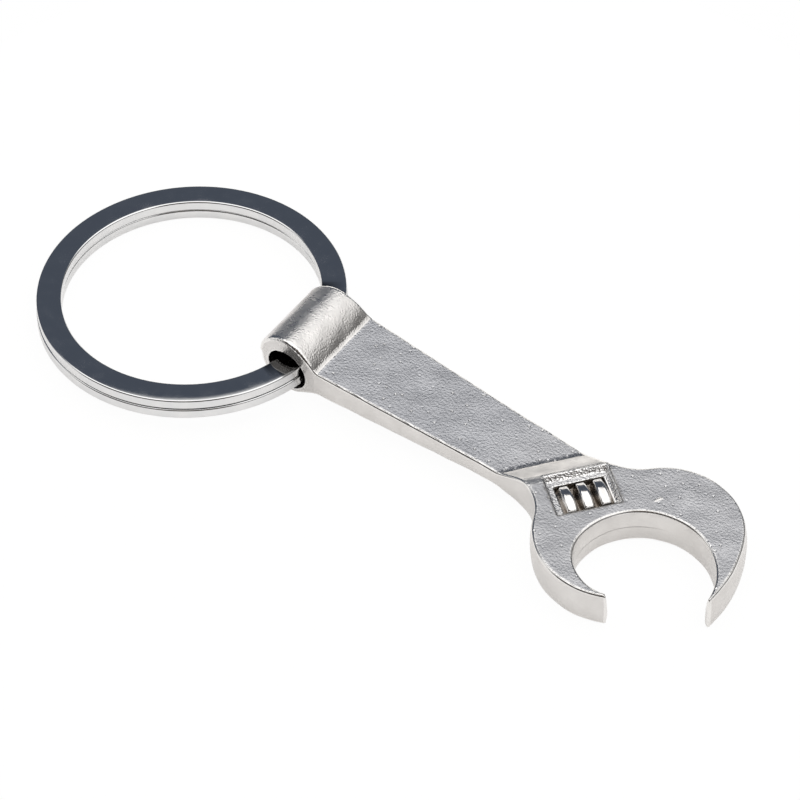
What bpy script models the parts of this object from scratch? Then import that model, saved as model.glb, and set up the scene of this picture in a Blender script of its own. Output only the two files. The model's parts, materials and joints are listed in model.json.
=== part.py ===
"""Keychain bottle opener: a cast opener in the shape of a small wrench, on a two-turn split ring.

Metres, +Z up. The object lies on z = 0, with its bounding box centred on the Z axis. The casting is
drawn in a frame of its own, with the barrel's axis along Y through the origin and the shank along +X,
and an empty lays it down with the barrel and the end of the head touching the ground.
"""

import math

import bmesh
import bpy
from mathutils import Matrix, Vector

OBJECT_NAME = "keychain_bottle_opener"

# Barrel: the round end that holds the ring. Its flanks run straight from the round to the shank.
BARREL_RADIUS = 0.0032
BARREL_FLANK = math.radians(35)
BARREL_HALF_LENGTH = 0.0042
BORE_RADIUS = 0.00218
BORE_DROP = 0.00045  # the bore sits a little below the barrel's centre
BORE_FLARE = 0.0003
BORE_FACETS = 48

# Shank: a flat bar that narrows and thins towards the head.
SHANK_HALF_WIDTH = 0.0045  # where it meets the barrel
SHANK_SIDE_SLOPE = 0.044
SHANK_HALF_THICKNESS = 0.00145
SHANK_TOP_SLOPE = 0.028

# Head: a plate with a ramp up to it on both faces, an outer edge of tangent arcs and a round mouth.
HEAD_HALF_THICKNESS = 0.0019
RAMP_TURN = math.radians(-38.5)  # the way up the ramp, turned from +X
RAMP_TOP = 0.0236  # distance of the ramp's upper line from the origin
RAMP_SLOPE = 0.43
NEAR_FILLET = 0.0049
NEAR_CENTRE = Vector((0.0375, -0.00355))
NEAR_RADIUS = 0.0078
FAR_FILLET = 0.0056
FAR_CENTRE = Vector((0.0411, -0.00015))
FAR_RADIUS = 0.00725
FAR_TURN = math.radians(26)  # where the far arc opens out towards its tip
FAR_TIP_RADIUS = 0.0147
FAR_TIP_END = math.radians(-6.5)
MOUTH_CENTRE = Vector((0.0420, -0.00578))
MOUTH_RADIUS = 0.0069
MOUTH_START = math.radians(6)
MOUTH_HOOK_RADIUS = 0.0046  # the mouth's tighter curve inside the near prong
MOUTH_HOOK_END = math.radians(284)
NEAR_TIP_END = math.radians(-63)
ARC_STEP = math.radians(7)  # the longest step along an arc
EDGE_ROUND = 0.00022
SHARP_EDGE = math.radians(50)  # edges sharper than this are rounded

# Worm relief: three ridges in a shallow pocket with sloping walls in the head's upper face.
POCKET_CENTRE = Vector((0.0324, -0.00115))
POCKET_TURN = math.radians(-37.5)
POCKET_WIDTH = 0.0047  # up the ramp's way, at the face
POCKET_LENGTH = 0.0062
POCKET_DEPTH = 0.0008
POCKET_WALL_RUN = 0.0004  # how far each wall comes in on its way down
RIDGE_COUNT = 3
RIDGE_PITCH = 0.00172
RIDGE_THICKNESS = 0.00095
RIDGE_LENGTH = 0.0034
RIDGE_SHIFT = 0.0002  # towards the mouth from the pocket's centre
RIDGE_TOP_GAP = 0.0001  # how far the ridges stay below the head's face

# Split ring: one flat wire wound twice, with the step between its turns inside the barrel.
RING_OUTER_RADIUS = 0.015
WIRE_WIDTH = 0.0021
WIRE_THICKNESS = 0.00108
TURN_GAP = 0.00008
WIRE_CORNER = 0.00025
STEP_HALF_ANGLE = math.radians(13.5)
RING_STATIONS_PER_TURN = 60

# Where the ring lies, in the casting's frame.
RING_CENTRE = Vector((-0.01322, -0.0016, -0.00138))
RING_PITCH = math.radians(-4.85)  # the free side of the ring is the lower one
RING_ROLL = math.radians(-2.0)

CUTTER_REACH = 0.06  # longer than any part of the casting that a cutter passes through


def clear_scene():
    for obj in list(bpy.data.objects):
        bpy.data.objects.remove(obj, do_unlink=True)


def new_collection(name):
    collection = bpy.data.collections.new(name)
    bpy.context.scene.collection.children.link(collection)
    return collection


def steel_like(name, colour, roughness):
    material = bpy.data.materials.new(name)
    material.use_nodes = True
    shader = material.node_tree.nodes["Principled BSDF"]
    shader.inputs["Base Color"].default_value = (*colour, 1.0)
    shader.inputs["Metallic"].default_value = 1.0
    shader.inputs["Roughness"].default_value = roughness
    return material


def plate_curve(name, outline, half_thickness, collection, edge_round=0.0, matrix=None):
    """A filled outline extruded both ways along its own Z, with its edges rounded inside the outline."""
    data = bpy.data.curves.new(name, "CURVE")
    data.dimensions = "2D"
    data.fill_mode = "BOTH"
    data.extrude = half_thickness - edge_round
    data.bevel_depth = edge_round
    data.bevel_resolution = 0
    data.offset = -edge_round
    spline = data.splines.new("POLY")
    spline.points.add(len(outline) - 1)
    for point, place in zip(spline.points, outline):
        point.co = (place[0], place[1], 0.0, 1.0)
    spline.use_cyclic_u = True
    obj = bpy.data.objects.new(name, data)
    collection.objects.link(obj)
    obj.matrix_world = matrix or Matrix.Identity(4)
    return obj


def mesh_from_curve(curve, collection):
    """The curve's solid as a mesh object of the same name, with its caps welded on."""
    bpy.context.view_layer.update()
    graph = bpy.context.evaluated_depsgraph_get()
    mesh = bpy.data.meshes.new_from_object(curve.evaluated_get(graph))
    work = bmesh.new()
    work.from_mesh(mesh)
    bmesh.ops.remove_doubles(work, verts=work.verts, dist=1e-6)
    bmesh.ops.recalc_face_normals(work, faces=work.faces)
    work.to_mesh(mesh)
    work.free()
    name = curve.name
    placed = curve.matrix_world.copy()
    bpy.data.objects.remove(curve, do_unlink=True)
    obj = bpy.data.objects.new(name, mesh)
    collection.objects.link(obj)
    obj.matrix_world = placed
    return obj


def plate_mesh(name, outline, half_thickness, collection, edge_round=0.0, matrix=None):
    curve = plate_curve(name, outline, half_thickness, collection, edge_round, matrix)
    return mesh_from_curve(curve, collection)


def apply_transform(obj):
    obj.data.transform(obj.matrix_world)
    obj.matrix_world = Matrix.Identity(4)


def make_helper(obj):
    obj.hide_render = True
    obj.display_type = "WIRE"
    return obj


def combine(obj, other, operation):
    """Adds a Boolean with a helper object and applies it, so that the helper can stay out of the way."""
    modifier = obj.modifiers.new(other.name, "BOOLEAN")
    modifier.operation = operation
    modifier.solver = "EXACT"
    modifier.object = other
    bpy.context.view_layer.update()
    graph = bpy.context.evaluated_depsgraph_get()
    mesh = bpy.data.meshes.new_from_object(obj.evaluated_get(graph))
    obj.modifiers.clear()
    obj.data = mesh
    make_helper(other)


def arc(centre, radius, start, end):
    """Points along an arc from one angle to another, both ends included."""
    steps = max(2, math.ceil(abs(end - start) / ARC_STEP))
    angles = (start + (end - start) * i / steps for i in range(steps + 1))
    return [Vector((centre[0] + radius * math.cos(a), centre[1] + radius * math.sin(a))) for a in angles]


def heading(vector):
    return math.atan2(vector[1], vector[0])


def neck_fillet(side, fillet_radius, head_centre, head_radius):
    """The concave arc between the shank's straight side and the head's arc, and where the head's begins."""
    along = Vector((1.0, -side * SHANK_SIDE_SLOPE)).normalized()
    outward = Vector((-along[1], along[0])) * side
    shank_corner = Vector((crease_x(), side * SHANK_HALF_WIDTH))
    start = shank_corner + outward * fillet_radius
    reach = start - head_centre
    back = reach.dot(along)
    free = back * back - (reach.length_squared - (head_radius + fillet_radius) ** 2)
    centre = start + along * (-back - math.sqrt(free))
    first = heading(-outward)
    last = heading(head_centre - centre)
    turned = (last - first + math.pi) % (2 * math.pi) - math.pi
    return arc(centre, fillet_radius, first, first + turned), heading(centre - head_centre)


def crease_x():
    """Where the barrel's straight flank comes down to the shank's face."""
    touch_x = BARREL_RADIUS * math.sin(BARREL_FLANK)
    touch_z = BARREL_RADIUS * math.cos(BARREL_FLANK)
    return touch_x + (touch_z - SHANK_HALF_THICKNESS) / math.tan(BARREL_FLANK)


def plan_outline():
    """The casting seen from above, anticlockwise from the barrel's near corner."""
    near_fillet, near_start = neck_fillet(-1, NEAR_FILLET, NEAR_CENTRE, NEAR_RADIUS)
    far_fillet, far_start = neck_fillet(1, FAR_FILLET, FAR_CENTRE, FAR_RADIUS)
    near_start = near_start % (2 * math.pi) - 2 * math.pi
    far_opening = Vector((math.cos(FAR_TURN), math.sin(FAR_TURN)))
    far_tip_centre = FAR_CENTRE - far_opening * (FAR_TIP_RADIUS - FAR_RADIUS)
    hook_centre = MOUTH_CENTRE - Vector((MOUTH_RADIUS - MOUTH_HOOK_RADIUS, 0.0))
    left = -1.2 * BARREL_RADIUS
    points = [Vector((left, -BARREL_HALF_LENGTH)), Vector((crease_x(), -SHANK_HALF_WIDTH))]
    points += near_fillet
    points += arc(NEAR_CENTRE, NEAR_RADIUS, near_start, NEAR_TIP_END)[1:]
    points += arc(hook_centre, MOUTH_HOOK_RADIUS, MOUTH_HOOK_END, math.pi)
    points += arc(MOUTH_CENTRE, MOUTH_RADIUS, math.pi, MOUTH_START)[1:]
    points += arc(far_tip_centre, FAR_TIP_RADIUS, FAR_TIP_END, FAR_TURN)
    points += arc(FAR_CENTRE, FAR_RADIUS, FAR_TURN, far_start)[1:]
    points += far_fillet[::-1][1:]
    points += [Vector((crease_x(), SHANK_HALF_WIDTH)), Vector((left, BARREL_HALF_LENGTH))]
    return points


def side_outline():
    """The barrel and the shank seen from the side, as X and Z, with the shank run on under the head."""
    top = arc((0.0, 0.0), BARREL_RADIUS, math.pi / 2 - BARREL_FLANK, math.pi)
    end_x = NEAR_CENTRE[0]
    end_z = SHANK_HALF_THICKNESS - SHANK_TOP_SLOPE * (end_x - crease_x())
    upper = [(end_x, end_z), (crease_x(), SHANK_HALF_THICKNESS)] + [tuple(point) for point in top]
    lower = [(x, -z) for x, z in upper[-2::-1]]
    return upper + lower


def ramp_outline():
    """The head plate seen along its ramps, as distance up the ramp and Z: a wedge that opens to the plate."""
    foot = RAMP_TOP - HEAD_HALF_THICKNESS / RAMP_SLOPE
    back = RAMP_TOP + CUTTER_REACH
    top = HEAD_HALF_THICKNESS
    return [(foot, 0.0), (RAMP_TOP, -top), (back, -top), (back, top), (RAMP_TOP, top)]


def upright(turn):
    """Stands an outline up: its X turned in plan, its Y up, and its thickness across."""
    return Matrix.Rotation(turn, 4, "Z") @ Matrix.Rotation(math.pi / 2, 4, "X")


def pocket_frame():
    """At the head's upper face: X up the ramp's way and Y along the worm."""
    place = Vector((POCKET_CENTRE[0], POCKET_CENTRE[1], HEAD_HALF_THICKNESS))
    return Matrix.Translation(place) @ Matrix.Rotation(POCKET_TURN, 4, "Z")


def pocket_cutter(collection):
    """A block as tall above the face as below it, whose sides spread on the way up."""
    bpy.ops.mesh.primitive_cube_add(size=2.0)
    cutter = bpy.context.object
    cutter.name = "pocket_cutter"
    for vertex in cutter.data.vertices:
        spread = vertex.co[2] * POCKET_WALL_RUN
        vertex.co[0] *= POCKET_WIDTH / 2 + spread
        vertex.co[1] *= POCKET_LENGTH / 2 + spread
        vertex.co[2] *= POCKET_DEPTH
    cutter.matrix_world = pocket_frame()
    move_to(cutter, collection)
    return cutter


def move_to(obj, collection):
    for holder in list(obj.users_collection):
        holder.objects.unlink(obj)
    collection.objects.link(obj)


def ridge_outline():
    """One ridge of the worm seen along the worm: an arch that stands in the pocket's floor."""
    rise = POCKET_DEPTH - RIDGE_TOP_GAP
    half = RIDGE_LENGTH / 2
    radius = (half * half + rise * rise) / (2 * rise)
    spread = math.asin(half / radius)
    centre = (0.0, -RIDGE_TOP_GAP - radius)
    root = POCKET_DEPTH / 2
    arch = arc(centre, radius, math.pi / 2 - spread, math.pi / 2 + spread)
    return [(half, arch[0][1] - root)] + [tuple(point) for point in arch] + [(-half, arch[0][1] - root)]


def worm_ridges(collection):
    ridges = []
    for number in range(RIDGE_COUNT):
        along = (number - (RIDGE_COUNT - 1) / 2) * RIDGE_PITCH
        place = pocket_frame() @ Matrix.Translation((RIDGE_SHIFT, along, 0.0)) @ upright(0.0)
        name = f"worm_ridge_{number + 1}"
        ridges.append(plate_mesh(name, ridge_outline(), RIDGE_THICKNESS / 2, collection, EDGE_ROUND, place))
    return ridges


def bore_cutter(collection):
    """The bore with a flare at each end, as a turned profile about the Y axis."""
    reach = BARREL_HALF_LENGTH + BORE_FLARE
    wide = BORE_RADIUS + 2 * BORE_FLARE
    profile = [(0.0, -reach), (wide, -reach), (BORE_RADIUS, -reach + 2 * BORE_FLARE)]
    profile += [(BORE_RADIUS, reach - 2 * BORE_FLARE), (wide, reach), (0.0, reach)]
    mesh = bpy.data.meshes.new("bore_cutter")
    points = [(radius, 0.0, height) for radius, height in profile]
    mesh.from_pydata(points, [(i, i + 1) for i in range(len(points) - 1)], [])
    cutter = bpy.data.objects.new("bore_cutter", mesh)
    collection.objects.link(cutter)
    screw = cutter.modifiers.new("turn", "SCREW")
    screw.steps = BORE_FACETS
    screw.render_steps = BORE_FACETS
    screw.use_merge_vertices = True
    screw.merge_threshold = 1e-6
    screw.use_normal_flip = True
    cutter.matrix_world = Matrix.Translation((0.0, 0.0, -BORE_DROP)) @ Matrix.Rotation(math.pi / 2, 4, "X")
    return cutter


def round_edges(obj):
    bevel = obj.modifiers.new("edge_round", "BEVEL")
    bevel.width = EDGE_ROUND
    bevel.segments = 2
    bevel.limit_method = "ANGLE"
    bevel.angle_limit = SHARP_EDGE
    bpy.context.view_layer.update()
    graph = bpy.context.evaluated_depsgraph_get()
    mesh = bpy.data.meshes.new_from_object(obj.evaluated_get(graph))
    obj.modifiers.clear()
    obj.data = mesh


def wrench_body(parts, cutters):
    """The casting: side view and head plate joined, trimmed to the plan, then bored and pocketed."""
    body = plate_mesh("wrench_body", side_outline(), CUTTER_REACH, parts, matrix=upright(0.0))
    apply_transform(body)
    plate = plate_mesh("head_plate", ramp_outline(), CUTTER_REACH, cutters, matrix=upright(RAMP_TURN))
    plan = plate_mesh("plan_trim", plan_outline(), 2 * BARREL_RADIUS, cutters)
    combine(body, plate, "UNION")
    combine(body, plan, "INTERSECT")
    round_edges(body)
    combine(body, bore_cutter(cutters), "DIFFERENCE")
    combine(body, pocket_cutter(cutters), "DIFFERENCE")
    for ridge in worm_ridges(cutters):
        combine(body, ridge, "UNION")
    return body


def wire_section(collection):
    """The wire's cross-section: a flat bar with rounded corners, wide across the ring."""
    reach_x = WIRE_WIDTH / 2 - WIRE_CORNER
    reach_y = WIRE_THICKNESS / 2 - WIRE_CORNER
    quarters = ((1, 1, 0.0), (-1, 1, 90.0), (-1, -1, 180.0), (1, -1, 270.0))
    points = []
    for sign_x, sign_y, start in quarters:
        for turn in (start, start + 45.0, start + 90.0):
            angle = math.radians(turn)
            x = sign_x * reach_x + WIRE_CORNER * math.cos(angle)
            y = sign_y * reach_y + WIRE_CORNER * math.sin(angle)
            points.append((x, y))
    return make_helper(plate_curve("wire_section", points, 0.0, collection))


def ring_height(angle):
    """The wire's height: the lower turn, one smooth step up, then the upper turn."""
    lift = (WIRE_THICKNESS + TURN_GAP) / 2
    into = (angle - (2 * math.pi - STEP_HALF_ANGLE)) / (2 * STEP_HALF_ANGLE)
    into = min(1.0, max(0.0, into))
    return lift * (2 * into * into * (3 - 2 * into) - 1)


def split_ring(parts, cutters):
    """The ring in its own frame: flat on XY, with the middle of its step on +X."""
    radius = RING_OUTER_RADIUS - WIRE_WIDTH / 2
    start = STEP_HALF_ANGLE
    end = 4 * math.pi - STEP_HALF_ANGLE
    count = 2 * RING_STATIONS_PER_TURN
    data = bpy.data.curves.new("split_ring", "CURVE")
    data.dimensions = "3D"
    data.twist_mode = "Z_UP"
    data.bevel_mode = "OBJECT"
    data.bevel_object = wire_section(cutters)
    data.use_fill_caps = True
    spline = data.splines.new("POLY")
    spline.points.add(count)
    for number, point in enumerate(spline.points):
        angle = start + (end - start) * number / count
        point.co = (radius * math.cos(angle), radius * math.sin(angle), ring_height(angle), 1.0)
    curve = bpy.data.objects.new("split_ring", data)
    parts.objects.link(curve)
    return mesh_from_curve(curve, parts)


def rest_tilt():
    """How far the casting leans nose down for the barrel and the head's end to touch the ground."""
    end_x = FAR_CENTRE[0] + (FAR_RADIUS - FAR_TIP_RADIUS) * math.cos(FAR_TURN) + FAR_TIP_RADIUS
    reach = math.hypot(end_x, HEAD_HALF_THICKNESS)
    return math.asin(BARREL_RADIUS / reach) - math.atan2(HEAD_HALF_THICKNESS, end_x)


def empty(name, parent, location, collection):
    holder = bpy.data.objects.new(name, None)
    holder.empty_display_size = 0.003
    holder.parent = parent
    holder.location = location
    collection.objects.link(holder)
    return holder


def place_ring(ring, pivot):
    """Lays the ring in the bore, with the step between its turns in the middle of the barrel."""
    step_turn = math.asin(-RING_CENTRE[1] / (RING_OUTER_RADIUS - WIRE_WIDTH / 2))
    lean = Matrix.Rotation(RING_PITCH, 4, "Y") @ Matrix.Rotation(RING_ROLL, 4, "X")
    offset = RING_CENTRE - Vector((0.0, 0.0, -BORE_DROP))
    ring.parent = pivot
    ring.matrix_basis = Matrix.Translation(offset) @ lean @ Matrix.Rotation(step_turn, 4, "Z")


def centre_over_origin(root, objects):
    """Moves the root so that the bounding box stands on z = 0 with its centre on the Z axis."""
    bpy.context.view_layer.update()
    corners = [obj.matrix_world @ vertex.co for obj in objects for vertex in obj.data.vertices]
    low = Vector(min(corner[axis] for corner in corners) for axis in range(3))
    high = Vector(max(corner[axis] for corner in corners) for axis in range(3))
    root.location -= Vector(((low[0] + high[0]) / 2, (low[1] + high[1]) / 2, low[2]))
    bpy.context.view_layer.update()


def finish_surface(obj, material):
    obj.data.materials.clear()
    obj.data.materials.append(material)
    obj.data.shade_smooth()
    obj.data.set_sharp_from_angle(angle=math.radians(30))


def main():
    clear_scene()
    parts = new_collection(OBJECT_NAME)
    cutters = new_collection("cutters")
    root = empty("opener_root", None, (0.0, 0.0, 0.0), parts)
    casting_frame = empty("casting_frame", root, (0.0, 0.0, BARREL_RADIUS), parts)
    casting_frame.rotation_euler = (0.0, rest_tilt(), 0.0)
    pivot = empty("ring_pivot", casting_frame, (0.0, 0.0, -BORE_DROP), parts)
    body = wrench_body(parts, cutters)
    body.parent = casting_frame
    finish_surface(body, steel_like("satin_nickel_casting", (0.62, 0.61, 0.60), 0.34))
    ring = split_ring(parts, cutters)
    place_ring(ring, pivot)
    finish_surface(ring, steel_like("bright_nickel_wire", (0.72, 0.71, 0.69), 0.1))
    centre_over_origin(root, (body, ring))


main()
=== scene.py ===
"""Looks for the keychain bottle opener: a satin nickel casting and a bright split ring on white.

The casting is modelled as a distance field, in millimetres in its own frame: the barrel's axis runs
along Y through the origin and the shank along +X. The field is turned into a mesh, then placed by the
ring's hinge. The ring is swept from the wire's cross-section. The near side is -Y and the far side +Y.
"""

import json
import math

import bpy
import numpy as np
import openvdb
from mathutils import Matrix, Vector

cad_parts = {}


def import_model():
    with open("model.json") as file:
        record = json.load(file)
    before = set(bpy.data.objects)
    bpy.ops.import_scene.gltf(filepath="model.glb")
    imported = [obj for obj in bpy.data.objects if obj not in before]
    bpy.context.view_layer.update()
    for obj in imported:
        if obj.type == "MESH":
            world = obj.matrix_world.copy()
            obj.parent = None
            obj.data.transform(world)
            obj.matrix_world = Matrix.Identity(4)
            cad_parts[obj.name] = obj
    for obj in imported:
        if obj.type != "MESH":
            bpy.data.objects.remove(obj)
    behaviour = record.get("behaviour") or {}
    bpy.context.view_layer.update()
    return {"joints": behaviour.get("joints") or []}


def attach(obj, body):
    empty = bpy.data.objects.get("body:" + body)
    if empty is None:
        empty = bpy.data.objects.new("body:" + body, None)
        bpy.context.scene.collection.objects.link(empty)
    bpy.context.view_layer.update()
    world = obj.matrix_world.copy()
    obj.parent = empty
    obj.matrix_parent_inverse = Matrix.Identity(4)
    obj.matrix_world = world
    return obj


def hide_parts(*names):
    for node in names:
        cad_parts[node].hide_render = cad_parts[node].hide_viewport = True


MM = 0.001

# Barrel and shank. They are the CAD's, but for the barrel's upper round, the crease, the bore and the
# shank's far side, which follow the photo more closely.
BARREL_RADIUS = 3.2
BARREL_SWELL = 0.1  # the upper round is this much larger than the lower, and its middle this much higher
BARREL_BACK = 0.12  # how far its middle lies back from the shank
BARREL_FLANK = math.radians(35)  # the slope of the CAD's straight flank, which sets where the shank begins
BARREL_HALF_LENGTH = 4.2
FLANK_START = math.radians(25)  # where the round passes into the flank's shallower curve
BORE_RADIUS = 2.23
BORE_DROP = 0.45  # the bore sits a little below the barrel's centre
BORE_TAPER = 0.024  # how fast the bore widens towards its far mouth, as a cast hole does
BORE_FLARE = 0.5  # how fast it widens at the mouth itself
BORE_FLARE_DEPTH = 0.1
SHANK_HALF_WIDTH = {-1: 4.5, 1: 4.62}  # on the near side and on the far side, where it meets the barrel
SHANK_SIDE_SLOPE = {-1: 0.044, 1: 0.054}
SHANK_HALF_THICKNESS = 1.45
SHANK_TOP_SLOPE = 0.028
CREASE_BACK = 0.1  # how far the crease lies back from the CAD's

# Head, as in the CAD: a plate with a ramp up to it on both faces, an outer edge of tangent arcs and a
# round mouth.
HEAD_HALF_THICKNESS = 1.9
RAMP_TURN = math.radians(-38.5)  # the way up the ramp, turned from +X
RAMP_TOP = 23.6  # distance of the ramp's upper line from the origin
RAMP_SLOPE = 0.43
NEAR_FILLET = 4.9
NEAR_CENTRE = (37.5, -3.55)
NEAR_RADIUS = 7.8
NEAR_TIP_END = math.radians(-63)
FAR_FILLET = 5.6
FAR_CENTRE = (41.1, -0.15)
FAR_RADIUS = 7.25
FAR_TURN = math.radians(26)  # where the far arc opens out towards its tip
FAR_TIP_RADIUS = 14.7
FAR_TIP_END = math.radians(-6.5)
MOUTH_CENTRE = (42.0, -5.78)
MOUTH_RADIUS = 6.9
MOUTH_START = math.radians(6)
MOUTH_HOOK_RADIUS = 4.6  # the mouth's tighter curve inside the near prong
MOUTH_HOOK_END = math.radians(284)

# Worm relief: three arched ridges in a trough, inside a shallow pocket in the head's upper face.
POCKET_CENTRE = (32.1, -1.15)
POCKET_TURN = math.radians(-38.7)
POCKET_WIDTH = 4.95  # up the ramp's way, at the face
POCKET_LENGTH = 6.35
POCKET_DEPTH = 0.55
POCKET_CORNER = 0.1
POCKET_FLOOR_ROUND = 0.08
RAMP_WALL_RUN = 1.0  # how far the pocket's wall towards the ramp comes in for each unit of depth
MOUTH_WALL_RUN = 0.2
NEAR_WALL_RUN = 0.3
FAR_WALL_RUN = 0.5
OPPOSITE_ROUND = 0.05  # between two walls that face each other
TROUGH_DEPTH = 1.25
TROUGH_RUN = 0.2
TROUGH_ROUND = 0.1
TROUGH_MARGIN = 0.3  # how far it reaches past the ridges' ends
TROUGH_NEAR_MARGIN = 0.4  # how much farther it reaches on the near side
TROUGH_NEAR_RUN = 0.6
RIDGE_COUNT = 3
RIDGE_PITCH = 1.68
RIDGE_LENGTH = 3.1
RIDGE_SHIFT = (0.42, 0.15)  # from the pocket's centre, towards the mouth and to the far side
RIDGE_LEAN = math.radians(1.5)  # how far the ridges turn against the pocket
RIDGE_TOP_GAP = 0.08  # how far the crests stay below the head's face
RIDGE_DROP = 0.42  # how far the crest falls towards its ends
RIDGE_FLANK = 0.36
RIDGE_END_ROUND = 0.1
RIDGE_FOOT_ROUND = 0.04
RIDGE_ROOT = 0.3  # how far the ridges go on below the trough's floor
CREST_WIDTH = 0.86
CREST_ROUND = 0.14

# What the casting's finish adds.
FLECK = ((38.45, 1.75), (38.75, 2.35))  # a raised fleck of metal on the head
FLECK_RADIUS = 0.14
FLECK_DEPTH = 0.06  # how far its middle line lies below the head's face
FLECK_ROUND = 0.04
HEAD_BLEND = (21.0, 27.0)  # along X, where the shank's walls turn into the head's
HEAD_DRAFT = 0.2  # how far the walls stand out at mid height
SHANK_DRAFT = 0.12
SHANK_DRAFT_FULL = 12.0  # along X, where the shank's walls stand out fully
HEAD_LEAN = (0.3, -0.12)  # how far the head's underside lies from its top in plan
EDGE_ROUND = 0.2
BARREL_EDGE_ROUND = 0.38
BARREL_EDGE_END = 1.0  # along X, where the barrel's softer edges begin to sharpen
BORE_EDGE_ROUND = 0.12
CREASE_ROUND = 0.3
RAMP_FOOT_ROUND = 0.14
RAMP_TOP_ROUND = 0.26
LIP_ROUND = 0.05
WOBBLE = 0.012  # the size of the surface's slow waves

# The casting's mesh.
VOXEL = 0.08
FIELD_LOW = (-4.4, -12.4, -3.8)  # the grid's corners, clear of the casting all round
FIELD_HIGH = (50.2, 8.4, 3.9)
FIELD_BAND = 1.0  # the mesher needs no distances beyond this
MESH_SHARE = 0.3  # the share of the mesher's triangles that is kept
PULL_ROUNDS = 2
PULL_LIMIT = 0.4  # the longest step back onto the surface, in grid steps
ARC_STEP = math.radians(1.2)  # about the longest step along an arc

# Where the casting's finish and its painted light and shade change: pairs are where a smooth change begins
# and ends.
FLAT_NORMAL = (0.95, 0.985)  # a face is as cast if its normal is this upright
GRAIN_START = (-0.1, 0.2)  # past the crease
GRAIN_FADE = (20.0, 27.0)  # along X
HEAD_GRAIN_LOSS = 0.2
BLAST_END = (0.2, -0.1)  # past the crease
BORE_SHADE_START = (0.0, 0.5)  # inwards from the bore's mouths
SEAM_REACH = 0.45  # how far from the mouth's arc its wall is still found
SEAM_FADE = (41.5, 38.5)  # along X
SPARK_WALL = (0.99, 0.93)  # by the normal's height
# The pocket's sparkle is painted glints and painted shade.
SPARK_FLOOR = 0.55  # how much the pocket's floor sparkles
SPARK_START = (0.02, 0.08)  # below the face
RIM_INNER = (-0.02, 0.04)  # outwards from the pocket's edge
RIM_OUTER = (0.2, 0.12)
GULLY_DEPTH = (0.45, 0.95)  # below the face
POLISH_DEPTH = (0.9, 0.6)

# The casting's colours, several of them painted light and shade: at the edges, in the pits, round and inside
# the worm pocket and in the bore.
WALL_TONES = ((0.62, 0.605, 0.59), (0.68, 0.665, 0.65))
# The flat faces' tones are darker than the walls', partly for their as-cast grain and partly as painted
# shade of that grain's tiny hollows.
FACE_TONES = ((0.43, 0.435, 0.455), (0.495, 0.50, 0.52))
EDGE_HIGHLIGHT = (0.80, 0.79, 0.775)
GLINT_SPOT = (0.97, 0.965, 0.96)
SHADE_SPOT = (0.13, 0.125, 0.12)
LIP_SHADE = (0.12, 0.11, 0.10)
GULLY_SHADE = (0.20, 0.165, 0.13)
SEAM_GREY = (0.25, 0.24, 0.23)
BORE_SHADE_TONE = (0.03, 0.028, 0.025)

# Split ring: one flat wire wound twice. It is a little wider and larger than the CAD's, as in the photo, and
# its step is shorter.
RING_OUTER_RADIUS = 15.15
WIRE_WIDTH = 2.46
WIRE_THICKNESS = 1.08
WIRE_CORNER = 0.18
TURN_GAP = 0.08
LOWER_TURN_EXTRA = 0.06  # how much larger the lower turn's radius is
STEP_HALF_ANGLE = math.radians(7)
RING_CENTRE = (-13.22, -1.94, -1.38)
RING_PITCH = math.radians(-4.85)  # the free side of the ring is the lower one
RING_ROLL = math.radians(-2.0)
RING_STATIONS = 640
CORNER_STEPS = 6
# The wire is painted dark inside the bore, as shade. Beside the barrel its upper face is darkened too, a
# painted shade, because there the photo doesn't show the mirror image of the barrel's end. Pairs are where a
# smooth change begins and ends.
BESIDE_SHADE = 0.82
BESIDE_REACH = (2.4, 1.9)  # out from the barrel's ends
BORE_SHADE_EDGE = (0.25, -0.2)
BARREL_SIDE = (-6.0, -5.0)  # along X, so that the ring's free side stays bright
WIRE_TONES = ((0.66, 0.665, 0.67), (0.70, 0.70, 0.70))
WIRE_SPECK = (0.86, 0.86, 0.86)
WIRE_SHADE = (0.02, 0.018, 0.016)

# Camera, in the casting's frame.
CAMERA_AZIMUTH = math.radians(33.96)
CAMERA_ELEVATION = math.radians(49.636)
CAMERA_ROLL = math.radians(2.191)
CAMERA_DISTANCE = 482.8
CAMERA_AIM = (-8.371, -5.839)  # how far the view's middle lies from the barrel, right and down
CAMERA_LENS = 225.0
CAMERA_CLIP = (0.01, 20.0)
SENSOR = 36.0

# Studio: the radiance of each zone, and where it lies, in degrees. An edge is an elevation and how soft it
# is to either side.
ZENITH = (1.60, 1.59, 1.58)
SIDE_LIGHT = (1.15, 1.14, 1.13)
SKY_EDGE = (48.5, 4.0)
ZONES = (  # radiance, azimuth, how far round it is full and where it ends, lower edge, upper edge
    ((0.16, 0.157, 0.155), 30.0, (40.0, 70.0), (0.0, 4.0), (33.0, 5.0)),  # dim, low at the right and behind
    ((0.085, 0.10, 0.13), 140.0, (50.0, 70.0), None, (48.5, 3.0)),  # the dark wall that the ring mirrors
    ((1.7, 1.66, 1.6), 122.0, (14.0, 24.0), None, (12.0, 4.0)),  # a low bright strip behind, seen as glints
    ((0.05, 0.045, 0.045), 280.0, (45.0, 70.0), (0.0, 5.0), (56.0, 5.0)),  # the dark room at the camera
)
CAMERA_PLACE = (304.0, 50.0)  # the camera itself, seen in the rounded edges
CAMERA_SPREAD = (17.0, 25.0)
CAMERA_BLACK = (0.10, 0.08, 0.065)
BACKDROP = (1.0, 1.0, 1.0)
FLOOR_RADIUS = 0.065
FLOOR_CORNERS = 96
FLOOR_CARD = (0.85, 0.845, 0.84)
FLOOR_GLOW = (1.0, 0.985, 0.97)
FLOOR_GLOW_STRENGTH = 0.42
FLOOR_WHITENESS = 0.93  # how much of the floor the camera sees as plain white


# ---------------------------------------------------------------- outlines


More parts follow.
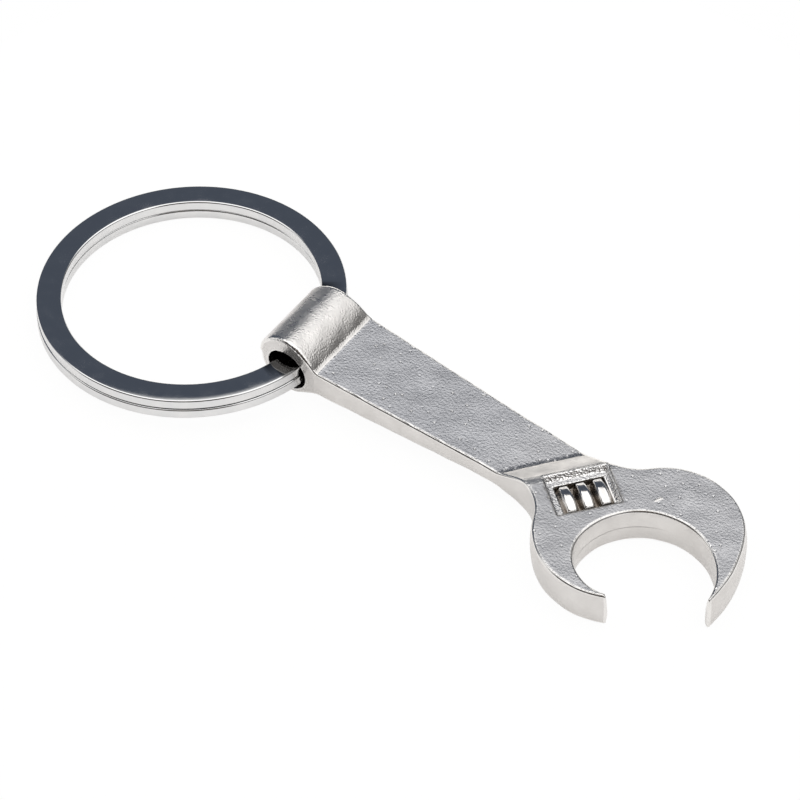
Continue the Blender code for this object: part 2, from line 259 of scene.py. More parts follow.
def crease_x():
    """Where the barrel's flank meets the shank."""
    touch_x = BARREL_RADIUS * math.sin(BARREL_FLANK)
    touch_z = BARREL_RADIUS * math.cos(BARREL_FLANK)
    return touch_x + (touch_z - SHANK_HALF_THICKNESS) / math.tan(BARREL_FLANK) - CREASE_BACK


def arc(centre, radius, start, end):
    """Points along an arc, in short steps."""
    angles = np.linspace(start, end, max(3, math.ceil(abs(end - start) / ARC_STEP)))
    return np.stack([centre[0] + radius * np.cos(angles), centre[1] + radius * np.sin(angles)], axis=1)


def neck_fillet(side, fillet_radius, head_centre, head_radius):
    """The concave arc between the shank's side and the head, and the angle at which the head's begins."""
    along = np.array([1.0, -side * SHANK_SIDE_SLOPE[side]])
    along /= np.linalg.norm(along)
    outward = np.array([-along[1], along[0]]) * side
    start = np.array([crease_x(), side * SHANK_HALF_WIDTH[side]]) + outward * fillet_radius
    reach = start - np.array(head_centre)
    back = reach @ along
    free = back * back - (reach @ reach - (head_radius + fillet_radius) ** 2)
    centre = start + along * (-back - math.sqrt(free))
    first = math.atan2(-outward[1], -outward[0])
    away = centre - np.array(head_centre)
    last = math.atan2(-away[1], -away[0])
    turned = (last - first + math.pi) % (2 * math.pi) - math.pi
    return arc(centre, fillet_radius, first, first + turned), math.atan2(away[1], away[0])


def plan_outline():
    """The casting seen from above, anticlockwise."""
    near_fillet, near_start = neck_fillet(-1, NEAR_FILLET, NEAR_CENTRE, NEAR_RADIUS)
    far_fillet, far_start = neck_fillet(1, FAR_FILLET, FAR_CENTRE, FAR_RADIUS)
    near_start = near_start % (2 * math.pi) - 2 * math.pi
    opening = np.array([math.cos(FAR_TURN), math.sin(FAR_TURN)])
    far_tip_centre = np.array(FAR_CENTRE) - opening * (FAR_TIP_RADIUS - FAR_RADIUS)
    hook_centre = (MOUTH_CENTRE[0] - MOUTH_RADIUS + MOUTH_HOOK_RADIUS, MOUTH_CENTRE[1])
    left = -1.2 * BARREL_RADIUS
    runs = [
        [(left, -BARREL_HALF_LENGTH), (crease_x(), -SHANK_HALF_WIDTH[-1])],
        near_fillet,
        arc(NEAR_CENTRE, NEAR_RADIUS, near_start, NEAR_TIP_END),
        arc(hook_centre, MOUTH_HOOK_RADIUS, MOUTH_HOOK_END, math.pi),
        arc(MOUTH_CENTRE, MOUTH_RADIUS, math.pi, MOUTH_START),
        arc(far_tip_centre, FAR_TIP_RADIUS, FAR_TIP_END, FAR_TURN),
        arc(FAR_CENTRE, FAR_RADIUS, FAR_TURN, far_start),
        far_fillet[::-1],
        [(crease_x(), SHANK_HALF_WIDTH[1]), (left, BARREL_HALF_LENGTH)],
    ]
    return np.concatenate([np.array(run, float) for run in runs])


def barrel_outline():
    """The barrel seen from the side, as X and Z: a round whose flanks run down to the creases."""
    radius = BARREL_RADIUS + BARREL_SWELL
    middle = np.array([-BARREL_BACK, BARREL_SWELL])
    outward = np.array([math.sin(FLANK_START), math.cos(FLANK_START)])
    touch = middle + radius * outward
    drop = np.array([crease_x(), SHANK_HALF_THICKNESS]) - touch
    flank_radius = -(drop @ drop) / (2 * drop @ outward)
    flank_middle = touch - outward * flank_radius
    last = math.asin(-flank_middle[1] / flank_radius)
    flank = arc(flank_middle, flank_radius, last, math.pi / 2 - FLANK_START)
    round_end = math.pi + math.asin(BARREL_SWELL / radius)
    upper = np.concatenate([flank, arc(middle, radius, math.pi / 2 - FLANK_START, round_end)])
    lower = np.concatenate([arc((0.0, 0.0), BARREL_RADIUS, math.pi, 1.5 * math.pi + FLANK_START),
                            [(crease_x(), -SHANK_HALF_THICKNESS), (crease_x() + 1.0, 0.0)]])
    return np.concatenate([upper, lower])


# ---------------------------------------------------------------- distance fields


def outline_distance(u, v, outline):
    """Signed distance from each grid point to a closed outline, negative inside."""
    shape = u.shape
    u, v = u.ravel(), v.ravel()
    best = np.full(u.shape, 1e9)
    inside = np.zeros(u.shape, bool)
    for start, end in zip(outline, np.roll(outline, -1, axis=0)):
        step = end - start
        length = step @ step
        if length < 1e-12:
            continue
        du, dv = u - start[0], v - start[1]
        share = np.clip((du * step[0] + dv * step[1]) / length, 0.0, 1.0)
        best = np.minimum(best, (du - share * step[0]) ** 2 + (dv - share * step[1]) ** 2)
        crosses = (start[1] > v) != (end[1] > v)
        if step[1] != 0.0:
            inside ^= crosses & (du < step[0] * (v - start[1]) / step[1])
    distance = np.sqrt(best)
    return np.where(inside, -distance, distance).reshape(shape)


def meet(a, b, radius):
    """The intersection of two fields, with the edge between them rounded."""
    corner = np.hypot(np.maximum(a + radius, 0.0), np.maximum(b + radius, 0.0))
    return np.minimum(np.maximum(a, b), -radius) + corner


def join(a, b, radius):
    """The union of two fields, with the crease between them rounded."""
    return -meet(-a, -b, radius)


def smoothstep(low, high, value):
    """None at low, one at high and smooth between; low may be the larger."""
    t = np.clip((value - low) / (high - low), 0.0, 1.0)
    return t * t * (3.0 - 2.0 * t)


def bore_radius(y):
    """The bore's radius along the barrel: a taper and a flare at the far mouth."""
    mouth = np.maximum(y - BARREL_HALF_LENGTH + BORE_FLARE_DEPTH, 0.0)
    return BORE_RADIUS + BORE_TAPER * (y + BARREL_HALF_LENGTH) + BORE_FLARE * mouth


def shank_half_thickness(x):
    return SHANK_HALF_THICKNESS - SHANK_TOP_SLOPE * (x - crease_x())


def side_view_field(barrel, gx, gy, gz):
    """Barrel, shank and the head's plate with its ramps, before the outline in plan is cut."""
    up_ramp = gx * math.cos(RAMP_TURN) + gy * math.sin(RAMP_TURN)
    slant = math.hypot(1.0, RAMP_SLOPE)
    rise = (np.abs(gz) - HEAD_HALF_THICKNESS - RAMP_SLOPE * (up_ramp - RAMP_TOP)) / slant
    plate = meet(rise, np.abs(gz) - HEAD_HALF_THICKNESS, RAMP_TOP_ROUND)
    shank = np.maximum(np.maximum(np.abs(gz) - shank_half_thickness(gx), -gx), gx - NEAR_CENTRE[0])
    return join(join(barrel, shank, CREASE_ROUND), plate, RAMP_FOOT_ROUND)


def wall_field(plan, gx, gz):
    """The outline in plan, standing out at mid height, with the head's underside set over."""
    at_head = smoothstep(*HEAD_BLEND, gx)
    half = shank_half_thickness(gx)
    half = half + (HEAD_HALF_THICKNESS - half) * at_head
    draft = SHANK_DRAFT + (HEAD_DRAFT - SHANK_DRAFT) * at_head
    draft = smoothstep(crease_x(), SHANK_DRAFT_FULL, gx) * draft
    walls = plan - draft * np.maximum(1.0 - (gz / half) ** 2, 0.0)
    lean_x, lean_y = (rate[:, :, None] for rate in np.gradient(plan[:, :, 0], VOXEL))
    lower = np.clip((half - gz) / (2 * half), 0.0, 1.0) * at_head
    return walls - lower * (HEAD_LEAN[0] * lean_x + HEAD_LEAN[1] * lean_y)


def waves(gx, gy, gz):
    """Slow waves that keep the surfaces from being perfectly flat."""
    swell = np.sin(1.9 * gx + 0.7 * gy) * np.sin(1.1 * gy - 2.3 * gz + 0.5)
    return swell + np.sin(0.8 * gx - 1.7 * gy + 1.0) * np.sin(2.7 * gz + 0.6 * gx)


def casting_field(x, y, z):
    """Distance field of the casting on the grid that three axes span."""
    barrel = outline_distance(*np.meshgrid(x, z, indexing="ij"), barrel_outline())[:, None, :]
    plan = outline_distance(*np.meshgrid(x, y, indexing="ij"), plan_outline())[:, :, None]
    gx, gy, gz = x[:, None, None], y[None, :, None], z[None, None, :]
    sharpening = smoothstep(BARREL_EDGE_END, crease_x(), gx)
    rounding = BARREL_EDGE_ROUND + (EDGE_ROUND - BARREL_EDGE_ROUND) * sharpening
    solid = meet(side_view_field(barrel, gx, gy, gz), wall_field(plan, gx, gz), rounding)
    beside = segment_distance(gx, gy, *FLECK)
    fleck = np.hypot(beside, gz - HEAD_HALF_THICKNESS + FLECK_DEPTH) - FLECK_RADIUS
    solid = join(solid, fleck, FLECK_ROUND)
    bore = np.hypot(gx, gz + BORE_DROP) - bore_radius(gy)
    solid = meet(solid + WOBBLE * waves(gx, gy, gz), -bore, BORE_EDGE_ROUND)
    return carve_worm(solid, gx, gy, gz)


def segment_distance(x, y, start, end):
    """Distance in plan from the line between two points."""
    step = np.subtract(end, start)
    dx, dy = x - start[0], y - start[1]
    share = np.clip((dx * step[0] + dy * step[1]) / (step @ step), 0.0, 1.0)
    return np.hypot(dx - share * step[0], dy - share * step[1])


def slope(distance, depth, run):
    """A wall that comes in by run for each unit of depth."""
    return (distance + depth * run) / math.hypot(1.0, run)


def pocket_axes(x, y, turn=POCKET_TURN):
    """Places seen from the pocket's centre: up the ramp's way, and across it to the far side."""
    c, s = math.cos(turn), math.sin(turn)
    dx, dy = x - POCKET_CENTRE[0], y - POCKET_CENTRE[1]
    return c * dx + s * dy, -s * dx + c * dy


def facing_walls(distance, reach, depth, low_run, high_run):
    """A slot between two sloping walls, reach to either side of where the distance is none."""
    low, high = slope(-distance - reach, depth, low_run), slope(distance - reach, depth, high_run)
    return meet(low, high, OPPOSITE_ROUND)


def carve_worm(solid, gx, gy, gz):
    """Cuts the pocket into the upper face and stands the worm's ridges in it."""
    u, v = pocket_axes(gx, gy)
    depth = HEAD_HALF_THICKNESS - gz
    across = facing_walls(u, POCKET_WIDTH / 2, depth, RAMP_WALL_RUN, MOUTH_WALL_RUN)
    along = facing_walls(v, POCKET_LENGTH / 2, depth, NEAR_WALL_RUN, FAR_WALL_RUN)
    pocket = meet(meet(across, along, POCKET_CORNER), depth - POCKET_DEPTH, POCKET_FLOOR_ROUND)
    solid = meet(solid, -pocket, LIP_ROUND)
    u, v = pocket_axes(gx, gy, POCKET_TURN + RIDGE_LEAN)
    u, v = u - RIDGE_SHIFT[0], v - RIDGE_SHIFT[1]
    ends = np.abs(u) - RIDGE_LENGTH / 2
    reach = RIDGE_COUNT * RIDGE_PITCH / 2
    near_wall = slope(-v - reach - TROUGH_NEAR_MARGIN, depth, TROUGH_NEAR_RUN)
    row = meet(slope(v - reach, depth, TROUGH_RUN), near_wall, OPPOSITE_ROUND)
    trough = meet(slope(ends - TROUGH_MARGIN, depth, TROUGH_RUN), row, TROUGH_ROUND)
    solid = meet(solid, -meet(trough, depth - TROUGH_DEPTH, TROUGH_ROUND), LIP_ROUND)
    radius = (RIDGE_LENGTH ** 2 / 4 + RIDGE_DROP ** 2) / (2 * RIDGE_DROP)
    arch = np.hypot(u, depth - RIDGE_TOP_GAP - radius) - radius
    root = depth - TROUGH_DEPTH - RIDGE_ROOT
    for number in range(RIDGE_COUNT):
        beside = np.abs(v - (number - (RIDGE_COUNT - 1) / 2) * RIDGE_PITCH) - CREST_WIDTH / 2
        crest = meet(arch, slope(beside, arch, RIDGE_FLANK), CREST_ROUND)
        ridge = meet(crest, ends, RIDGE_END_ROUND)
        solid = join(solid, np.maximum(ridge, root), RIDGE_FOOT_ROUND)
    return solid


def sample(field, places):
    """The field's value at each place, in grid steps, by linear interpolation."""
    cell = np.clip(np.floor(places).astype(int), 0, np.array(field.shape) - 2)
    share = places - cell
    value = np.zeros(len(places))
    for corner in np.ndindex(2, 2, 2):
        weight = np.prod(np.where(corner, share, 1.0 - share), axis=1)
        value += weight * field[tuple((cell + corner).T)]
    return value


def field_normals(field, places):
    """Outward directions of the surface, from the field's slopes at each place."""
    slopes = [sample(field, places + step) - sample(field, places - step) for step in np.eye(3)]
    normals = np.stack(slopes, axis=1)
    return normals / np.linalg.norm(normals, axis=1)[:, None]


def bend(field, places):
    """How sharply the surface bends at each place: positive at edges, negative in creases."""
    steps = 2 * np.eye(3)
    around = sum(sample(field, places + step) for step in (*steps, *-steps))
    return around - 6 * sample(field, places)


# ---------------------------------------------------------------- where the casting's finish and its painted light and shade change


def beside_pocket(points):
    """How far each point lies outside the worm pocket's edge in plan, negative inside."""
    u, v = pocket_axes(points[:, 0], points[:, 1])
    return np.maximum(np.abs(u) - POCKET_WIDTH / 2, np.abs(v) - POCKET_LENGTH / 2)


def grain_mask(points, normals):
    """One on the flat faces that were left as cast, none on the barrel, ramps, walls and ridges."""
    flat = smoothstep(*FLAT_NORMAL, np.abs(normals[:, 2]))
    amount = 1.0 - HEAD_GRAIN_LOSS * smoothstep(*GRAIN_FADE, points[:, 0])
    return amount * flat * smoothstep(*GRAIN_START, points[:, 0] - crease_x()) * (1.0 - polish_mask(points))


def blast_mask(points):
    """One on the barrel's outside."""
    return smoothstep(*BLAST_END, points[:, 0] - crease_x())


def bore_shade_mask(points):
    """One inside the bore, fading in from its ends: where the bore's shade is painted."""
    wall = bore_radius(points[:, 1]) + BORE_EDGE_ROUND * 0.6
    inside = np.hypot(points[:, 0], points[:, 2] + BORE_DROP) < wall
    return inside * smoothstep(*BORE_SHADE_START, BARREL_HALF_LENGTH - np.abs(points[:, 1]))


def seam_mask(points, normals):
    """One on the mouth's inner wall beside the worm, where the mould's parting line still shows."""
    dx, dy = points[:, 0] - MOUTH_CENTRE[0], points[:, 1] - MOUTH_CENTRE[1]
    inward = dx * normals[:, 0] + dy * normals[:, 1] < 0.0
    return inward * (np.hypot(dx, dy) < MOUTH_RADIUS + SEAM_REACH) * smoothstep(*SEAM_FADE, points[:, 0])


def spark_mask(points, normals):
    """One on the worm pocket's own walls, less on its floor: where painted glints and painted shade go."""
    depth = HEAD_HALF_THICKNESS - points[:, 2]
    share = np.maximum(smoothstep(*SPARK_WALL, normals[:, 2]), SPARK_FLOOR)
    inside = (beside_pocket(points) < 0.12) * (depth < POCKET_DEPTH + 0.06)
    return inside * smoothstep(*SPARK_START, depth) * share * (1.0 - polish_mask(points))


def rim_mask(points):
    """One along a thin line round the worm pocket, where the lip casts a shade."""
    aside = beside_pocket(points)
    return smoothstep(*RIM_INNER, aside) * smoothstep(*RIM_OUTER, aside) * (points[:, 2] > 1.0)


def gully_shade_mask(points):
    """One deep between the worm's ridges, where shade is painted."""
    inside = (beside_pocket(points) < 0.0) * (points[:, 2] > 0.0)
    return inside * smoothstep(*GULLY_DEPTH, HEAD_HALF_THICKNESS - points[:, 2])


def polish_mask(points):
    """One on the worm's ridges."""
    u, v = pocket_axes(points[:, 0], points[:, 1], POCKET_TURN + RIDGE_LEAN)
    beside = np.maximum(np.abs(u - RIDGE_SHIFT[0]) - RIDGE_LENGTH / 2,
                        np.abs(v - RIDGE_SHIFT[1]) - RIDGE_COUNT * RIDGE_PITCH / 2)
    above = points[:, 2] > 0.0
    return (beside < 0.1) * above * smoothstep(*POLISH_DEPTH, HEAD_HALF_THICKNESS - points[:, 2])


# ---------------------------------------------------------------- the casting's mesh


def add_point_value(mesh, name, values):
    """A number at each vertex that the material can read by its name."""
    layer = mesh.attributes.new(name, "FLOAT", "POINT")
    layer.data.foreach_set("value", np.asarray(values, np.float32))


def thinned(name, points, faces):
    """The mesher's surface with fewer triangles where it is flat."""
    mesh = bpy.data.meshes.new("dense")
    mesh.from_pydata(points.tolist(), [], faces)
    mesh.update()
    dense = add_object("dense", mesh)
    thin = dense.modifiers.new("thin", "DECIMATE")
    thin.ratio = MESH_SHARE
    bpy.context.view_layer.update()
    result = bpy.data.meshes.new_from_object(dense.evaluated_get(bpy.context.evaluated_depsgraph_get()))
    bpy.data.objects.remove(dense)
    bpy.data.meshes.remove(mesh)
    result.name = name
    return result


def casting_mesh(name, matrix):
    """The field's surface as a mesh, in metres in the row frame, with the field's own normals."""
    low = np.array(FIELD_LOW)
    ends = zip(FIELD_LOW, FIELD_HIGH)
    axes = [np.arange(first, last + VOXEL, VOXEL, dtype=np.float32) for first, last in ends]
    field = casting_field(*axes).astype(np.float32)
    grid = openvdb.FloatGrid(FIELD_BAND)
    grid.copyFromArray(np.clip(field, -FIELD_BAND, FIELD_BAND))
    points, triangles, quads = grid.convertToPolygons(0.0, 0.0)
    mesh = thinned(name, points, triangles.tolist() + quads.tolist())
    places = np.array([vertex.co for vertex in mesh.vertices])
    for _ in range(PULL_ROUNDS):
        miss = np.clip(sample(field, places) / VOXEL, -PULL_LIMIT, PULL_LIMIT)
        places -= miss[:, None] * field_normals(field, places)
    spots = places * VOXEL + low
    mesh.vertices.foreach_set("co", (spots * MM).ravel())
    mesh.update()
    mesh.shade_smooth()
    normals = field_normals(field, places)
    values = {
        "grain": grain_mask(spots, normals),
        "blast": blast_mask(spots),
        "bore_shade": bore_shade_mask(spots),
        "polish": polish_mask(spots),
        "seam": seam_mask(spots, normals),
        "spark": spark_mask(spots, normals),
        "rim": rim_mask(spots),
        "gully_shade": gully_shade_mask(spots),
        "level": spots[:, 2],
        "bend": bend(field, places) / VOXEL,
    }
    for value_name, numbers in values.items():
        add_point_value(mesh, value_name, numbers)
    mesh.transform(matrix)
    mesh.normals_split_custom_set_from_vertices((normals @ np.array(matrix.to_3x3()).T).tolist())
    return mesh


# ---------------------------------------------------------------- split ring


def wire_section():
    """Corner points of the wire's cross-section and their outward directions."""
    reach_x = WIRE_WIDTH / 2 - WIRE_CORNER
    reach_y = WIRE_THICKNESS / 2 - WIRE_CORNER
    points = []
    for quarter, (sign_x, sign_y) in enumerate(((1, 1), (-1, 1), (-1, -1), (1, -1))):
        for step in range(CORNER_STEPS + 1):
            angle = math.pi / 2 * (quarter + step / CORNER_STEPS)
            x = sign_x * reach_x + WIRE_CORNER * math.cos(angle)
            y = sign_y * reach_y + WIRE_CORNER * math.sin(angle)
            points.append((x, y))
    return np.array(points)


def ring_climb(angle):
    """Minus one on the lower turn, one on the upper and a smooth climb where they meet."""
    into = np.clip((angle - (2 * math.pi - STEP_HALF_ANGLE)) / (2 * STEP_HALF_ANGLE), 0.0, 1.0)
    return 2 * into * into * (3 - 2 * into) - 1


def ring_mesh(name, matrix):
    """The wire swept twice round, flat on XY with the middle of its step on +X."""
    section = wire_section()
    around = len(section)
    angles = np.linspace(STEP_HALF_ANGLE, 4 * math.pi - STEP_HALF_ANGLE, RING_STATIONS)
    climb = ring_climb(angles)[:, None]
    extra = (1 - climb) / 2 * LOWER_TURN_EXTRA
    radius = RING_OUTER_RADIUS - WIRE_WIDTH / 2 + section[:, 0][None, :] + extra
    heights = climb * (WIRE_THICKNESS + TURN_GAP) / 2 + section[:, 1][None, :]
    c, s = np.cos(angles)[:, None], np.sin(angles)[:, None]
    points = np.stack([radius * c, radius * s, heights], axis=2).reshape(-1, 3) * MM
    faces = []
    for station in range(RING_STATIONS - 1):
        for corner in range(around):
            a = station * around + corner
            b = station * around + (corner + 1) % around
            faces.append((a, a + around, b + around, b))
    faces.append(tuple(range(around)))
    faces.append(tuple((RING_STATIONS - 1) * around + corner for corner in reversed(range(around))))
    mesh = bpy.data.meshes.new(name)
    mesh.from_pydata(points.tolist(), [], faces)
    mesh.update()
    mesh.shade_smooth()
    spots = np.array([ring_matrix() @ vertex.co for vertex in mesh.vertices]) / MM
    # Painted shade: the wire is darkened inside the bore, and on its upper face beside the barrel.
    beyond = np.abs(spots[:, 1]) - BARREL_HALF_LENGTH
    inside = smoothstep(*BORE_SHADE_EDGE, beyond)
    top = points[:, 2] > (WIRE_THICKNESS + (TURN_GAP - WIRE_CORNER) / 2) * MM
    shade = np.maximum(inside, BESIDE_SHADE * top * smoothstep(*BESIDE_REACH, beyond))
    add_point_value(mesh, "bore_shade", shade * smoothstep(*BARREL_SIDE, spots[:, 0]))
    mesh.transform(matrix)
    return mesh


# ---------------------------------------------------------------- placing


def rest_tilt():
    """How far the casting leans when the barrel and the end of its head both touch the ground."""
    end_x = FAR_CENTRE[0] + (FAR_RADIUS - FAR_TIP_RADIUS) * math.cos(FAR_TURN) + FAR_TIP_RADIUS
    reach = math.hypot(end_x, HEAD_HALF_THICKNESS)
    return math.asin(BARREL_RADIUS / reach) - math.atan2(HEAD_HALF_THICKNESS, end_x)


def casting_matrix(frame):
    """Where the casting's frame lies in the row frame, from the ring's hinge in the bore."""
    pivot = Vector(frame["joints"][0]["pos_m"])
    lean = Matrix.Rotation(rest_tilt(), 4, "Y")
    return Matrix.Translation(pivot) @ lean @ Matrix.Translation((0.0, 0.0, BORE_DROP * MM))


def add_object(name, data):
    obj = bpy.data.objects.new(name, data)
    bpy.context.scene.collection.objects.link(obj)
    return obj


def ring_matrix():
    """Where the ring lies in the casting's frame, turned so that its step is inside the bore."""
    step_turn = math.asin(-RING_CENTRE[1] / (RING_OUTER_RADIUS - WIRE_WIDTH / 2))
    lean = Matrix.Rotation(RING_PITCH, 4, "Y") @ Matrix.Rotation(RING_ROLL, 4, "X")
    return Matrix.Translation(Vector(RING_CENTRE) * MM) @ lean @ Matrix.Rotation(step_turn, 4, "Z")


# ---------------------------------------------------------------- materials


class Nodes:
    """Short calls for building a node tree."""

    def __init__(self, tree):
        self.nodes = tree.nodes
        self.links = tree.links

    def put(self, value, socket):
        """Links an output to a socket, or sets a number or colour on it."""
        if isinstance(value, tuple):
            socket.default_value = (*value, 1.0)[:len(socket.default_value)]
        elif isinstance(value, (int, float)):
            socket.default_value = value
        elif value is not None:
            self.links.new(value, socket)

    def math(self, operation, *values):
        node = self.nodes.new("ShaderNodeMath")
        node.operation = operation
        for socket, value in zip(node.inputs, values):
            self.put(value, socket)
        return node.outputs[0]

    def times(self, a, b):
        return self.math("MULTIPLY", a, b)

    def total(self, first, *others):
        for other in others:
            first = self.math("ADD", first, other)
        return first

    def ramp(self, value, low, high, start=0.0, end=1.0):
        """A smooth change from start to end while the value goes from low to high."""
        node = self.nodes.new("ShaderNodeMapRange")
        node.interpolation_type = "SMOOTHSTEP"
        for socket, number in zip(node.inputs, (value, low, high, start, end)):
            self.put(number, socket)
        return node.outputs["Result"]

    def mix(self, factor, a, b):
        """Colour a where the factor is none and b where it is one."""
        node = self.nodes.new("ShaderNodeMix")
        node.data_type = "RGBA"
        self.put(factor, node.inputs["Factor"])
        self.put(a, node.inputs[6])
        self.put(b, node.inputs[7])
        return node.outputs[2]

    def noise(self, vector, size, detail=2.0, rough=0.5):
        """Noise whose blobs are about size across, in the units of the vector."""
        node = self.nodes.new("ShaderNodeTexNoise")
        node.inputs["Scale"].default_value = 1.0 / size
        node.inputs["Detail"].default_value = detail
        node.inputs["Roughness"].default_value = rough
        self.links.new(vector, node.inputs["Vector"])
        return node.outputs["Fac"]

    def point_value(self, name):
        node = self.nodes.new("ShaderNodeAttribute")
        node.attribute_name = name
        return node.outputs["Fac"]


def new_material(name):
    material = bpy.data.materials.new(name)
    material.use_nodes = True
    tree = Nodes(material.node_tree)
    return material, tree, material.node_tree.nodes["Principled BSDF"]


def surface_coords(tree):
    return tree.nodes.new("ShaderNodeTexCoord").outputs["Object"]


def add_bump(tree, shader, height, distance):
    bump = tree.nodes.new("ShaderNodeBump")
    bump.inputs["Strength"].default_value = 1.0
    bump.inputs["Distance"].default_value = distance
    tree.links.new(height, bump.inputs["Height"])
    tree.links.new(bump.outputs["Normal"], shader.inputs["Normal"])


def casting_pits(tree, where):
    """Scattered round pits, in about a third of the cells of a Voronoi pattern."""
    cells = tree.nodes.new("ShaderNodeTexVoronoi")
    cells.inputs["Scale"].default_value = 1.0 / (0.62 * MM)
    tree.links.new(where, cells.inputs["Vector"])
    chosen = tree.nodes.new("ShaderNodeSeparateXYZ")
    tree.links.new(cells.outputs["Color"], chosen.inputs[0])
    inside = tree.ramp(cells.outputs["Distance"], 0.3, 0.08)
    return tree.times(inside, tree.ramp(chosen.outputs["X"], 0.6, 0.8))


def casting_material():
    """Satin nickel on zinc: grainy on the flats, smoother elsewhere, with a painted highlight at the edges
    and painted light and shade in the pits, the worm pocket and the bore.
    """
    material, tree, shader = new_material("satin_nickel_casting")
    where = surface_coords(tree)
    grain, blast, polish, bore_shade, spark, rim, gully_shade = (
        tree.point_value(name) for name in ("grain", "blast", "polish", "bore_shade", "spark", "rim", "gully_shade"))
    edge = tree.ramp(tree.point_value("bend"), 0.15, 0.7)
    crease = tree.ramp(tree.point_value("bend"), -0.1, -0.5)
    midway = tree.ramp(tree.math("ABSOLUTE", tree.point_value("level")), 0.09, 0.02)
    seam = tree.times(midway, tree.point_value("seam"))

    pits = casting_pits(tree, where)
    pebbles = tree.noise(where, 0.22 * MM, 1.6, 0.5)
    cast = tree.math("SUBTRACT", tree.times(pebbles, 0.75), tree.times(pits, 1.1))
    blasted = tree.noise(where, 0.17 * MM, 0.0)
    height = tree.total(
        tree.times(grain, cast),
        tree.times(tree.times(blast, blasted), 0.38),
        tree.times(tree.noise(where, 0.12 * MM, 0.0), 0.05),
        tree.times(tree.noise(where, 1.1 * MM, 2.0), 0.2),
        tree.times(tree.times(spark, blasted), 1.2),
    )
    height = tree.math("SUBTRACT", height, tree.times(seam, 0.3))
    add_bump(tree, shader, height, 0.065 * MM)

    cloud = tree.ramp(tree.noise(where, 2.6 * MM, 3.0), 0.3, 0.7)
    glitter = tree.ramp(tree.noise(where, 0.11 * MM, 1.0), 0.33, 0.49)
    # the flat faces darker, partly as painted shade of their grain
    colour = tree.mix(grain, tree.mix(cloud, *WALL_TONES), tree.mix(cloud, *FACE_TONES))
    layers = (
        # painted highlight along the rounded edges
        (tree.times(edge, 0.7), EDGE_HIGHLIGHT),
        # painted highlight in the grain's pits
        (tree.times(tree.times(grain, pits), 0.85), GLINT_SPOT),
        (tree.times(rim, 0.75), LIP_SHADE),
        # painted glints and painted shade on the pocket's walls
        (spark, tree.mix(glitter, SHADE_SPOT, GLINT_SPOT)),
        # painted shade deep between the ridges
        (tree.times(gully_shade, 0.75), GULLY_SHADE),
        (tree.times(seam, 0.35), SEAM_GREY),
        # painted shade inside the bore
        (tree.times(bore_shade, 0.93), BORE_SHADE_TONE),
    )
    for share, tone in layers:
        colour = tree.mix(share, colour, tone)
    tree.put(colour, shader.inputs["Base Color"])

    roughness = tree.ramp(tree.noise(where, 0.8 * MM, 3.0), 0.3, 0.7, 0.29, 0.35)
    roughness = tree.total(roughness, tree.times(grain, 0.08))
    for part, less in ((edge, 0.10), (crease, 0.10), (polish, 0.17), (blast, 0.03)):
        roughness = tree.math("SUBTRACT", roughness, tree.times(part, less))
    tree.put(roughness, shader.inputs["Roughness"])
    shader.inputs["Metallic"].default_value = 1.0
    return material


def ring_material():
    """Bright nickel on hardened wire: nearly a mirror, with a faint haze and a few specks."""
    material, tree, shader = new_material("bright_nickel_wire")
    where = surface_coords(tree)
    haze = tree.ramp(tree.noise(where, 1.6 * MM, 3.0), 0.35, 0.75)
    specks = tree.ramp(tree.noise(where, 0.22 * MM, 2.0), 0.66, 0.76)
    colour = tree.mix(haze, *WIRE_TONES)
    colour = tree.mix(tree.times(specks, 0.25), colour, WIRE_SPECK)
    # painted shade on the wire inside the bore and beside the barrel
    colour = tree.mix(tree.times(tree.point_value("bore_shade"), 0.97), colour, WIRE_SHADE)
    tree.put(colour, shader.inputs["Base Color"])
    tree.put(tree.ramp(haze, 0.0, 1.0, 0.05, 0.10), shader.inputs["Roughness"])
    shader.inputs["Metallic"].default_value = 1.0
    add_bump(tree, shader, tree.noise(where, 0.5 * MM, 2.0), 0.001 * MM)
    return material


# ---------------------------------------------------------------- stage


def add_camera(matrix):
    """The camera, placed in the casting's frame and then carried to the row frame."""
    az, el = CAMERA_AZIMUTH, CAMERA_ELEVATION
    back = Vector((math.sin(az) * math.cos(el), -math.cos(az) * math.cos(el), math.sin(el)))
    right = (-back).cross(Vector((0, 0, 1))).normalized()
    down = (-back).cross(right).normalized()
    c, s = math.cos(CAMERA_ROLL), math.sin(CAMERA_ROLL)
    right, down = right * c - down * s, right * s + down * c
    place = back * CAMERA_DISTANCE - right * CAMERA_AIM[0] - down * CAMERA_AIM[1]
    turn = Matrix((right, -down, back)).transposed().to_4x4()
    data = bpy.data.cameras.new("camera")
    data.lens = CAMERA_LENS
    data.sensor_width = SENSOR
    data.clip_start, data.clip_end = CAMERA_CLIP
    camera = add_object("camera", data)
    camera.matrix_world = matrix @ Matrix.Translation(place * MM) @ turn
    bpy.context.scene.camera = camera


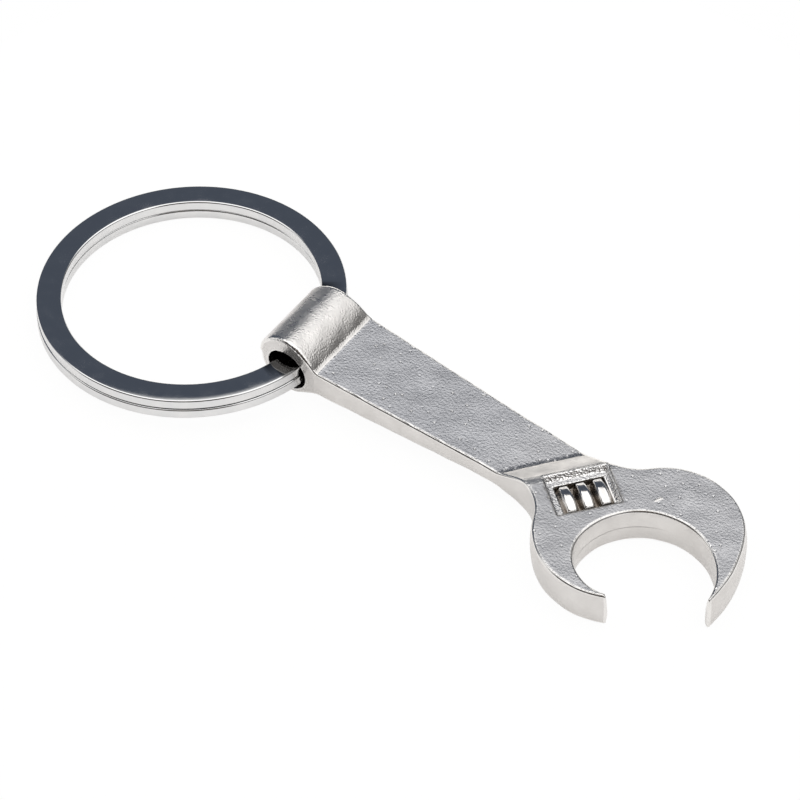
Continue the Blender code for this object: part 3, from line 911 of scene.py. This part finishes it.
def add_floor():
    """A white card under the object, bright enough to the camera that only a faint shadow shows."""
    bpy.ops.mesh.primitive_circle_add(vertices=FLOOR_CORNERS, radius=FLOOR_RADIUS, fill_type="NGON")
    floor = bpy.context.object
    floor.name = "floor"
    material, tree, shader = new_material("floor_white")
    tree.put(FLOOR_CARD, shader.inputs["Base Color"])
    shader.inputs["Roughness"].default_value = 0.9
    shader.inputs["Specular IOR Level"].default_value = 0.0
    tree.put(FLOOR_GLOW, shader.inputs["Emission Color"])
    shader.inputs["Emission Strength"].default_value = FLOOR_GLOW_STRENGTH
    white = tree.nodes.new("ShaderNodeEmission")
    path = tree.nodes.new("ShaderNodeLightPath")
    share = tree.times(path.outputs["Is Camera Ray"], FLOOR_WHITENESS)
    blend = tree.nodes.new("ShaderNodeMixShader")
    tree.links.new(share, blend.inputs["Fac"])
    tree.links.new(shader.outputs[0], blend.inputs[1])
    tree.links.new(white.outputs[0], blend.inputs[2])
    tree.links.new(blend.outputs[0], tree.nodes["Material Output"].inputs["Surface"])
    floor.data.materials.append(material)


def add_world():
    """A studio round the object: white overhead and at the right, dark at the back left and the camera."""
    world = bpy.data.worlds.new("studio")
    bpy.context.scene.world = world
    world.use_nodes = True
    tree = Nodes(world.node_tree)
    split = tree.nodes.new("ShaderNodeSeparateXYZ")
    tree.links.new(tree.nodes.new("ShaderNodeTexCoord").outputs["Generated"], split.inputs[0])
    height = split.outputs["Z"]
    flat = tree.math("SQRT", tree.math("SUBTRACT", 1.0001, tree.times(height, height)))

    def within(cosine, spread):
        """One where the angle is inside the spread's first number, none beyond its second, in degrees."""
        near, far = (math.cos(math.radians(angle)) for angle in spread)
        return tree.ramp(cosine, far, near)

    def facing(azimuth, spread):
        way = math.radians(azimuth)
        dot = tree.total(tree.times(split.outputs["X"], math.cos(way)),
                         tree.times(split.outputs["Y"], math.sin(way)))
        return within(tree.math("DIVIDE", dot, flat), spread)

    def above(edge):
        """None below an edge and one above it."""
        elevation, soft = edge
        low, high = math.sin(math.radians(elevation - soft)), math.sin(math.radians(elevation + soft))
        return tree.ramp(height, low, high)

    def toward(place, spread):
        azimuth, elevation = (math.radians(angle) for angle in place)
        flat_share = math.cos(elevation)
        way = (math.cos(azimuth) * flat_share, math.sin(azimuth) * flat_share, math.sin(elevation))
        dot = tree.total(*(tree.times(split.outputs[axis], part) for axis, part in zip("XYZ", way)))
        return within(dot, spread)

    colour = tree.mix(above(SKY_EDGE), SIDE_LIGHT, ZENITH)
    for radiance, azimuth, spread, lower_edge, upper_edge in ZONES:
        band = tree.math("SUBTRACT", 1.0, above(upper_edge))
        if lower_edge is not None:
            band = tree.times(above(lower_edge), band)
        colour = tree.mix(tree.times(facing(azimuth, spread), band), colour, radiance)
    colour = tree.mix(toward(CAMERA_PLACE, CAMERA_SPREAD), colour, CAMERA_BLACK)
    seen = tree.nodes.new("ShaderNodeLightPath").outputs["Is Camera Ray"]
    tree.put(tree.mix(seen, colour, BACKDROP), tree.nodes["Background"].inputs["Color"])


def main():
    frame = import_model()
    matrix = casting_matrix(frame)
    casting = add_object("wrench_casting", casting_mesh("wrench_casting", matrix))
    casting.data.materials.append(casting_material())
    ring = add_object("split_ring_wire", ring_mesh("split_ring_wire", matrix @ ring_matrix()))
    ring.data.materials.append(ring_material())
    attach(casting, "opener")
    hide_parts("wrench_body")
    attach(ring, "ring")
    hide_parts("split_ring")
    add_camera(matrix)
    add_floor()
    add_world()
    bpy.context.scene.view_settings.view_transform = "Standard"


main()
